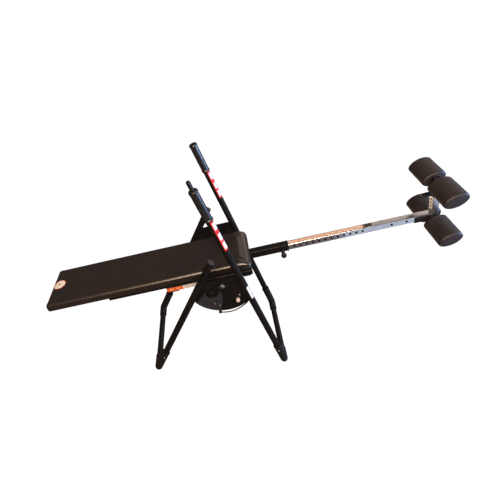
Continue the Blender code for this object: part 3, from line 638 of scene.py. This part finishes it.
def rounded_slab(low, high, radius, edge=0.0008, top_edge=None, corner=6, steps=1):
    """A flat plate with rounded corners and softened edges; top_edge rounds the upper side more."""
    def ring(inset, z):
        loop = []
        for quarter, (sx, sy) in enumerate(((1, 1), (-1, 1), (-1, -1), (1, -1))):
            cx = (low[0] + high[0]) / 2 + sx * ((high[0] - low[0]) / 2 - radius)
            cy = (low[1] + high[1]) / 2 + sy * ((high[1] - low[1]) / 2 - radius)
            for k in range(corner + 1):
                angle = math.pi / 2 * (quarter + k / corner)
                loop.append((cx + (radius - inset) * math.cos(angle),
                             cy + (radius - inset) * math.sin(angle), z))
        return loop

    top_edge = top_edge or edge
    turns = [math.pi / 2 * k / steps for k in range(steps + 1)]
    upper = [ring(top_edge * (1 - math.cos(turn)), high[2] - top_edge * (1 - math.sin(turn)))
             for turn in turns]
    return rings_mesh([ring(edge, low[2]), ring(0, low[2] + edge)] + upper)


HEAD_OVERHANG = 0.006                          # how far the cover reaches past the CAD pad at the head
WATERFALL = 0.075                              # length over which the pad's ankle end rolls down
BASE_INSET = 0.016


def cushion():
    """The bench pad: a board wrapped in foam and vinyl, crowned on top, rolling over at the ankle end."""
    low, high = local_box("pad")
    middle = (low + high) / 2
    block = rounded_slab((low.x + 0.002, low.y + 0.002, low.z + 0.0030),
                         (high.x - 0.002, high.y - 0.002, high.z - 0.0010),
                         radius=0.021, edge=0.002, top_edge=0.0195, steps=6)
    core = bpy.data.objects.new("pad_cover", block)
    bpy.context.scene.collection.objects.link(core)
    voxels = core.modifiers.new("remesh", "REMESH")
    voxels.mode = "VOXEL"
    voxels.voxel_size = 0.0055
    core.data = evaluated(core)
    core.modifiers.clear()
    cad = local_points("pad", BENCH)
    drop = high.z - cad[cad[:, 0] > high.x - 0.004][:, 2].max()
    for v in core.data.vertices:
        share = max(0.0, (v.co.x - high.x + WATERFALL) / WATERFALL)
        v.co.z = low.z + (v.co.z - low.z) * (1 - drop * share ** 2.2 / (high.z - low.z))
    spots = np.array([v.co for v in core.data.vertices])
    held = np.where(spots[:, 2] < low.z + 0.007)[0]
    inflate(core, pressure=2.0, cap=0.0025, held=held)
    even = core.modifiers.new("even", "SMOOTH")
    even.factor = 0.5
    even.iterations = 5
    core.data = evaluated(core)
    core.modifiers.clear()
    core.vertex_groups.clear()
    spots = np.array([v.co for v in core.data.vertices])
    reach = (Vector((low.x - HEAD_OVERHANG, low.y)), Vector((high.x, high.y)))
    fit = [(reach[1][k] - reach[0][k]) / (spots[:, k].max() - spots[:, k].min()) for k in (0, 1)]
    start = [(spots[:, k].max() + spots[:, k].min()) / 2 for k in (0, 1)]
    for v in core.data.vertices:
        for k in (0, 1):
            v.co[k] = (reach[0][k] + reach[1][k]) / 2 + (v.co[k] - start[k]) * fit[k]
        bed = noise.noise(Vector((v.co.x * 7, v.co.y * 9, 0.3)))
        crown = max(0.0, (v.co.z - middle.z) / (high.z - middle.z))
        v.co.z = min(v.co.z, high.z + 0.0015) + crown * bed * 0.0007
    finer = core.modifiers.new("finer", "SUBSURF")
    finer.levels = finer.render_levels = 1
    core.data = evaluated(core)
    core.modifiers.clear()
    core.data.materials.clear()
    core.data.materials.append(MATS["vinyl"])
    core.data.shade_smooth()
    core.matrix_world = BENCH
    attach(core, "bench")
    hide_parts("pad")
    return core


cover = cushion()
pad_low, pad_high = local_box("pad")
base = rounded_slab((pad_low.x + BASE_INSET, pad_low.y + BASE_INSET, pad_low.z + 0.0002),
                    (pad_high.x - BASE_INSET, pad_high.y - BASE_INSET, pad_low.z + 0.0040), 0.014)
piece("pad_base", base, "dark", "bench", BENCH)


def staples():
    """A row of wire staples round the edge of the dust cloth."""
    shape = bmesh.new()
    edge, wire = 0.024, (0.0100, 0.0009, 0.0004)
    long_side, short_side = 30, 8
    x0, x1 = pad_low.x + edge, pad_high.x - edge
    y0, y1 = pad_low.y + edge, pad_high.y - edge
    spots = []
    for n in range(long_side):
        x = x0 + (x1 - x0) * (n + 0.5) / long_side
        spots += [(x, y0, 0.0), (x, y1, 0.0)]
    for n in range(short_side):
        y = y0 + (y1 - y0) * (n + 0.5) / short_side
        spots += [(x0, y, math.pi / 2), (x1, y, math.pi / 2)]
    for x, y, turn in spots:
        made = bmesh.ops.create_cube(shape, size=1.0)["verts"]
        bmesh.ops.scale(shape, vec=wire, verts=made)
        skew = Matrix.Rotation(turn + 0.06 * math.sin(9 * x + 5 * y), 3, "Z")
        bmesh.ops.rotate(shape, cent=(0, 0, 0), matrix=skew, verts=made)
        bmesh.ops.translate(shape, vec=(x, y, pad_low.z + 0.0001), verts=made)
    piece("pad_staples", mesh_from(shape), "steel", "bench", BENCH)


staples()

BADGE_AT = (-0.945, 0.006)                     # along and across the bench
BADGE_R = 0.0360
COVER_TREE = BVHTree.FromPolygons([v.co.copy() for v in cover.data.vertices],
                                  [tuple(face.vertices) for face in cover.data.polygons])


def laid_on_cover(mesh):
    """Bend a flat mesh, given in bench axes with its underside at height 0, on to the cushion's cover."""
    for v in mesh.vertices:
        hit = COVER_TREE.ray_cast(Vector((v.co.x, v.co.y, 0.2)), Vector((0, 0, -1)))[0]
        v.co.z += hit.z if hit else pad_high.z - 0.004
    return mesh


def badge_look(name, colour, rough, scale, low, high, **sockets):
    """A flat printed colour, faintly cloudy between two shades."""
    look = Look(name, colour, rough, **sockets)
    look.link(look.mix(look.spread(look.noise(scale, 3.0), 0, 1), low, high), "Base Color")
    return look.mat


def badge():
    """A round printed badge on the head end: white, a red rim and a plain mark, with no wording."""
    white = badge_look("badge_white", (0.84, 0.82, 0.82), 0.30, 80.0, (0.92, 0.91, 0.91), (0.97, 0.96, 0.96),
                       Coat_Weight=0.4)
    red = badge_look("badge_red", (0.62, 0.10, 0.06), 0.32, 90.0, (0.55, 0.08, 0.05), (0.68, 0.13, 0.08),
                     Coat_Weight=0.4)
    brown = badge_look("badge_mark", (0.42, 0.25, 0.20), 0.4, 200.0, (0.34, 0.20, 0.16), (0.50, 0.30, 0.24))
    face = BADGE_R - 0.0032
    sunk = -0.0010
    disc = [(face, sunk), (face, 0.0006)]
    disc += [(face * part, 0.0008) for part in (0.97, 0.8, 0.6, 0.4, 0.2, 0.03)]
    rim = [(BADGE_R, sunk), (BADGE_R, 0.0007), (BADGE_R - 0.0007, 0.0012), (BADGE_R - 0.0025, 0.0012),
           (face, 0.0007), (face, sunk)]
    cog = [((0.0066 if k % 2 else 0.0082), math.pi * k / 12) for k in range(24)]
    cog = [[(size * math.cos(turn), size * math.sin(turn), z) for size, turn in cog]
           for z in (0.0006, 0.0012)]
    for name, mesh, mat in (("badge", lathe_mesh(disc, 48), white),
                            ("badge_rim", lathe_mesh(rim, 64, closed=True), red),
                            ("badge_mark", rings_mesh(cog), brown)):
        mesh.transform(Matrix.Translation((*BADGE_AT, 0)))
        mesh.materials.append(mat)
        piece(name, laid_on_cover(mesh), None, "bench", BENCH)


badge()


# ---- foam rollers -------------------------------------------------------------------------------
ROLLER_SIDES = 72
ROLLER_RIM = 0.0110
BAR_CLEAR = 0.0004
HEAD_RECESS = 0.0018                           # depth of the dish round the bar's head


def oval_outline(half_long, half_thin):
    """An ellipse as a closed outline."""
    turns = 2 * np.pi * np.arange(ROLLER_SIDES) / ROLLER_SIDES
    return np.stack((half_long * np.cos(turns), half_thin * np.sin(turns)), 1)


def inset(loop, depth):
    """Move a closed outline inwards along its own normals."""
    along = np.roll(loop, -1, 0) - np.roll(loop, 1, 0)
    normals = np.stack((-along[:, 1], along[:, 0]), 1)
    normals /= np.linalg.norm(normals, axis=1, keepdims=True)
    return loop + normals * depth


def roller(node, bar):
    """One oval foam roller: soft rims, a shallow step round each flat end, and a bore for its bar."""
    centre = Vector(JOINTS[node + "_turn"]["pos_m"])
    place = axes(centre, ALONG, ROW_Y, UP)
    spots = local_points(node, place)
    flat = spots[:, [0, 2]]
    outer = flat[np.linalg.norm(flat, axis=1) > 0.02]
    spread = np.linalg.svd(outer - outer.mean(0), full_matrices=False)[2][0]
    lean = math.atan2(spread[1], spread[0])
    turn = np.array(((math.cos(lean), math.sin(lean)), (-math.sin(lean), math.cos(lean))))
    half_long, half_thin = np.abs(outer @ turn.T).max(0) - 0.0003
    inner, out = sorted((spots[:, 1].min(), spots[:, 1].max()), key=abs)
    side = 1 if out > 0 else -1
    loop = oval_outline(half_long, half_thin)
    length = abs(out - inner)
    bar_spots = local_points(bar, place)
    bar_reach = np.linalg.norm(bar_spots[:, [0, 2]], axis=1)
    neck = bar_reach[bar_reach > 0.004].min() + BAR_CLEAR
    head = bar_reach.max() + BAR_CLEAR
    head_at = np.abs(bar_spots[bar_reach > head - 0.001][:, 1]).min()
    profile = []
    for k in range(7):
        angle = math.pi / 2 * k / 6
        profile.append((ROLLER_RIM * (1 - math.sin(angle)), ROLLER_RIM * (1 - math.cos(angle))))
    step = [(ROLLER_RIM + 0.0042, 0.0), (ROLLER_RIM + 0.0022, 0.0010), (ROLLER_RIM + 0.0010, 0.0006)]
    end = step + profile
    body = [(0.0, ROLLER_RIM + (length - 2 * ROLLER_RIM) * k / 12) for k in range(1, 12)]
    skin = end + body + [(depth, length - z) for depth, z in reversed(end)]
    turns = [math.atan2(y, x) for x, y in loop]
    hole = np.array([(math.cos(t), math.sin(t)) for t in turns])

    def ring(outline, z):
        """An outline across the roller, z in from its inner end."""
        return [(x, inner + side * z, y) for x, y in outline @ turn]

    face = inset(loop, step[0][0])
    sink = head_at - BAR_CLEAR - abs(inner)
    rings = [ring(hole * neck, 0.0), ring(hole * neck + (face - hole * neck) * 0.5, 0.0)]
    rings += [ring(inset(loop, depth), z) for depth, z in skin]
    rings += [ring(face * share, length) for share in (0.66, 0.33, 0.05)]
    rings += [ring(face * 0.05, length - HEAD_RECESS), ring(hole * head, length - HEAD_RECESS)]
    rings += [ring(hole * head, sink), ring(hole * neck, sink), ring(hole * neck, 0.0005)]
    mesh = rings_mesh(rings, closed=True)
    for v in mesh.vertices:
        away = Vector((v.co.x, 0, v.co.z))
        if away.length > 0.02:
            dent = noise.noise(Vector((v.co.x * 38, v.co.y * 26 + side * 5, v.co.z * 38 + centre.z * 9)))
            v.co -= away.normalized() * (0.0005 + 0.0005 * dent)
    made = piece(node.replace("roller", "foam"), mesh, "foam", node, place, 60)
    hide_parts(node)


for level in ("upper", "lower"):
    for tag in ("near", "far"):
        roller(f"roller_{level}_{tag}", f"{level}_bar")


# ---- screws, rings, welds and plugs -------------------------------------------------------------
def screw_mesh(radius, height):
    """A pan head with a cross recess."""
    profile = [(radius, 0), (radius, height * 0.45), (radius * 0.86, height * 0.78),
               (radius * 0.55, height * 0.97), (radius * 0.08, height)]
    head = bpy.data.objects.new("head", lathe_mesh(profile, 32))
    slot = bmesh.new()
    for turn in (0, math.pi / 2):
        made = bmesh.ops.create_cube(slot, size=1.0)["verts"]
        bmesh.ops.scale(slot, vec=(radius * 1.15, radius * 0.20, height * 1.1), verts=made)
        bmesh.ops.rotate(slot, cent=(0, 0, 0), matrix=Matrix.Rotation(turn, 3, "Z"), verts=made)
        bmesh.ops.translate(slot, vec=(0, 0, height * 1.05), verts=made)
    cutter = bpy.data.objects.new("slot", mesh_from(slot))
    for guide in (head, cutter):
        bpy.context.scene.collection.objects.link(guide)
    cut = head.modifiers.new("cut", "BOOLEAN")
    cut.operation = "DIFFERENCE"
    cut.solver = "EXACT"
    cut.use_self = True
    cut.object = cutter
    bpy.context.view_layer.update()
    mesh = evaluated(head)
    bpy.data.objects.remove(head)
    bpy.data.objects.remove(cutter)
    return mesh


def facing(at, direction, twist=0.3):
    """A place at `at` whose local Z looks along direction."""
    turn = Vector(direction).to_track_quat("Z", "Y").to_matrix().to_4x4()
    return Matrix.Translation(at) @ turn @ Matrix.Rotation(twist, 4, "Z")


SCREW = screw_mesh(0.0052, 0.0026)
SHORT_UP = slope_of("short_tube_near")
SLEEVE_R = 0.0230


def feet():
    """A raised ring round the mouth of each moulded foot's sleeve, and a screw in its side."""
    for end, up in (("ankle", LEG_UP), ("head", SHORT_UP)):
        for tag, side in (("near", -1), ("far", 1)):
            node = f"foot_{end}_{tag}"
            tube = ("long_tube_" if end == "ankle" else "short_tube_") + tag
            place = leg_place(tube, up)
            top = local_box(node, place)[1].z
            inside, skin, lip = SLEEVE_R - 0.0030, SLEEVE_R + 0.0006, SLEEVE_R + 0.0014
            profile = [(inside, top - 0.0002), (skin, top - 0.0002), (lip, top - 0.0012),
                       (lip, top - 0.0075), (skin, top - 0.0088), (SLEEVE_R - 0.0010, top - 0.0088)]
            ring = lathe_mesh(profile, 40, closed=True)
            piece(f"foot_ring_{end}_{tag}", ring, "plastic", "frame", place)
            at = facing(place @ Vector((0, side * (SLEEVE_R - 0.0002), top - 0.030)), (0, side, 0))
            piece(f"foot_screw_{end}_{tag}", SCREW.copy(), "steel", "frame", at, sharp=30)


feet()


def bead(name, start, end, body, radius=0.0022, ripple=0.0028, sides=8):
    """A straight weld bead, with the small even ripples of a run of weld and a thin tip at each end."""
    count = max(2, round((end - start).length / (ripple / 3)))
    spots = [start.lerp(end, k / count) for k in range(count)] + [end]
    rings = []
    travelled = 0.0
    for k, spot in enumerate(spots):
        before = spots[max(0, k - 1)]
        after = spots[min(len(spots) - 1, k + 1)]
        along = (after - before).normalized()
        side = along.orthogonal().normalized()
        up = along.cross(side)
        travelled += (spot - before).length
        size = radius * (0.86 + 0.14 * math.cos(2 * math.pi * travelled / ripple))
        size *= 0.45 if k in (0, len(spots) - 1) else 1.0
        rings.append([spot + (side * math.cos(t) + up * math.sin(t)) * size
                      for t in (2 * math.pi * n / sides for n in range(sides))])
    piece(name, rings_mesh(rings), "paint", body, None, sharp=60)


def plate_welds():
    """Welds between each gusset plate and its two legs, on both faces."""
    half_plate, end_gap = 0.0026, 0.004
    for tag, side in (("near", -1), ("far", 1)):
        for leg, up in (("long", LEG_UP), ("short", SHORT_UP)):
            place = leg_place(f"{leg}_tube_{tag}", up)
            spots = local_points("side_plate_" + tag, place)
            close = spots[np.abs(np.abs(spots[:, 0]) - TUBE_R - 0.0003) < 0.0012]
            low, high = close[:, 2].min() + end_gap, close[:, 2].max() - end_gap
            across = np.sign(close[:, 0].mean()) * (TUBE_R + 0.0004)
            for face in (-1, 1):
                a = place @ Vector((across, face * half_plate, low))
                b = place @ Vector((across, face * half_plate, high))
                bead(f"weld_{leg}_{tag}_{'in' if face * side < 0 else 'out'}", a, b, "frame")


plate_welds()


EAR_WELD = 0.040                               # half the length of a weld on a pivot ear


def ear_welds():
    """Welds that hold the pivot ears and the cross members to the frame rails."""
    for tag, side in (("near", -1), ("far", 1)):
        rail_low, rail_high = local_box("frame_rail_" + tag)
        edge = rail_high.y if side > 0 else rail_low.y
        inner_edge = rail_low.y if side > 0 else rail_high.y
        for number, y in enumerate((edge, inner_edge)):
            a = BENCH @ Vector((-EAR_WELD, y, rail_low.z - 0.0004))
            b = BENCH @ Vector((EAR_WELD, y, rail_low.z - 0.0004))
            bead(f"weld_ear_{tag}_{number}", a, b, "bench", 0.0018)
        for end in ("head", "ankle"):
            low, high = local_box("cross_member_" + end)
            for number, u in enumerate((low.x, high.x)):
                a = BENCH @ Vector((u, rail_low.y + 0.003, high.z + 0.0002))
                b = BENCH @ Vector((u, rail_high.y - 0.003, high.z + 0.0002))
                bead(f"weld_member_{end}_{tag}_{number}", a, b, "bench", 0.0016)


ear_welds()


def tube_plugs():
    """Moulded plugs in the open ends of the rails and under the post."""
    edge, proud, sunk, corner = 0.0006, 0.0014, 0.0012, 0.003
    on_end = axes((0, 0, 0), (0, 1, 0), (0, 0, 1), (1, 0, 0))
    for tag in ("near", "far"):
        low, high = local_box("frame_rail_" + tag)
        for end, u in (("head", low.x), ("ankle", high.x)):
            way = -1 if end == "head" else 1
            start, stop = sorted((u - way * sunk, u + way * proud))
            slab = rounded_slab((low.y + edge, low.z + edge, 0),
                                (high.y - edge, high.z - edge, stop - start), corner)
            place = BENCH @ Matrix.Translation((start, 0, 0)) @ on_end
            piece(f"rail_plug_{end}_{tag}", slab, "plastic", "bench", place)
    low, high = local_box("clamp_post")
    slab = rounded_slab((low.x + edge, low.y + edge, low.z - proud),
                        (high.x - edge, high.y - edge, low.z + 0.0002), corner)
    piece("post_plug", slab, "plastic", "ankle_tube", BENCH)


tube_plugs()


def fasteners():
    """Cushion bolts, saddle rivets, the lever's brass pin and axle, and a small screw beside the brake."""
    number = 0
    for tag in ("near", "far"):
        low, high = local_box("bed_rail_" + tag)
        for u in (low.x + 0.035, low.x + 0.235):
            number += 1
            at = BENCH @ Vector((u, (low.y + high.y) / 2, low.z))
            piece(f"cushion_bolt_{number}", SCREW.copy(), "steel", "bench", facing(at, -UP), sharp=30)
    low, high = local_box("tube_saddle")
    for tag, y, side in (("near", low.y, -1), ("far", high.y, 1)):
        at = BENCH @ Vector((low.x + 0.016, y, (low.z + high.z) / 2 + 0.004))
        rivet = facing(at, (0, side, 0))
        piece("saddle_rivet_" + tag, SCREW.copy(), "plastic", "ankle_tube", rivet, sharp=30)
    low, high = local_box("latch_lever")
    pin = lathe_mesh([(0.0042, 0), (0.0042, 0.0018), (0.0034, 0.0028), (0.0010, 0.0032)], 24)
    at = BENCH @ Vector((low.x + 0.0105, 0, high.z - 0.0036))
    piece("lever_pin", pin, "brass", "lever", facing(at, UP))
    axle = lathe_mesh([(0.0040, 0), (0.0040, 0.0010), (0.0030, 0.0016), (0.0008, 0.0018)], 24)
    for tag, y, side in (("near", low.y, -1), ("far", high.y, 1)):
        at = Vector(JOINTS["lever_lift"]["pos_m"]) + ROW_Y * y
        piece("lever_axle_" + tag, axle.copy(), "bolt", "lever", facing(at, (0, side, 0)))
    at = Vector((PIVOT.x + 0.093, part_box("side_plate_near")[0].y, PIVOT.z - 0.070))
    piece("stop_screw", SCREW.copy(), "steel", "frame", facing(at, (0, -1, 0)), sharp=30)


fasteners()


RIB_ARC = 0.158                                # radius of the rib's path about the pivot
RIB_SIZE = 0.0013


def brake_rib():
    """A smooth half-sunk rib along the lower edge of the brake housing."""
    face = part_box("brake_housing")[0].y
    spots = []
    for k in range(21):
        angle = math.radians(219 + 45 * k / 20)
        spots.append(Vector((PIVOT.x + RIB_ARC * math.cos(angle), face + 0.0002,
                             PIVOT.z + RIB_ARC * math.sin(angle))))
    rings = []
    for k, spot in enumerate(spots):
        along = (spots[min(len(spots) - 1, k + 1)] - spots[max(0, k - 1)]).normalized()
        side = along.cross(ROW_Y).normalized()
        size = RIB_SIZE * (0.4 if k in (0, len(spots) - 1) else 1.0)
        rings.append([spot + (side * math.cos(t) + ROW_Y * math.sin(t)) * size
                      for t in (2 * math.pi * n / 12 for n in range(12))])
    piece("brake_rib", rings_mesh(rings), "brake", "frame")


brake_rib()


# ---- floor and backdrop -------------------------------------------------------------------------
FLOOR_R = 14.0
FLOOR_DROP = 0.0005
DOME_R = 15.0


def studio():
    """A plain floor that lights see and the camera doesn't, in a white surround for the camera alone."""
    shape = bmesh.new()
    bmesh.ops.create_circle(shape, cap_ends=True, segments=96, radius=FLOOR_R)
    floor = bpy.data.objects.new("floor", mesh_from(shape))
    floor.location.z = -FLOOR_DROP
    look = Look("floor", (0.10, 0.085, 0.075), 0.8, Specular_IOR_Level=0.1)
    floor.data.materials.append(look.mat)
    floor.visible_camera = False
    shape = bmesh.new()
    bmesh.ops.create_uvsphere(shape, u_segments=48, v_segments=24, radius=DOME_R)
    dome = bpy.data.objects.new("backdrop", mesh_from(shape))
    look = Look("backdrop", (1, 1, 1), 1.0)
    look.set("Emission Color", (1, 1, 1, 1))
    look.set("Emission Strength", 1.0)
    dome.data.materials.append(look.mat)
    for flag in ("diffuse", "glossy", "transmission", "shadow", "volume_scatter"):
        setattr(dome, "visible_" + flag, False)
    for obj in (floor, dome):
        bpy.context.scene.collection.objects.link(obj)


studio()
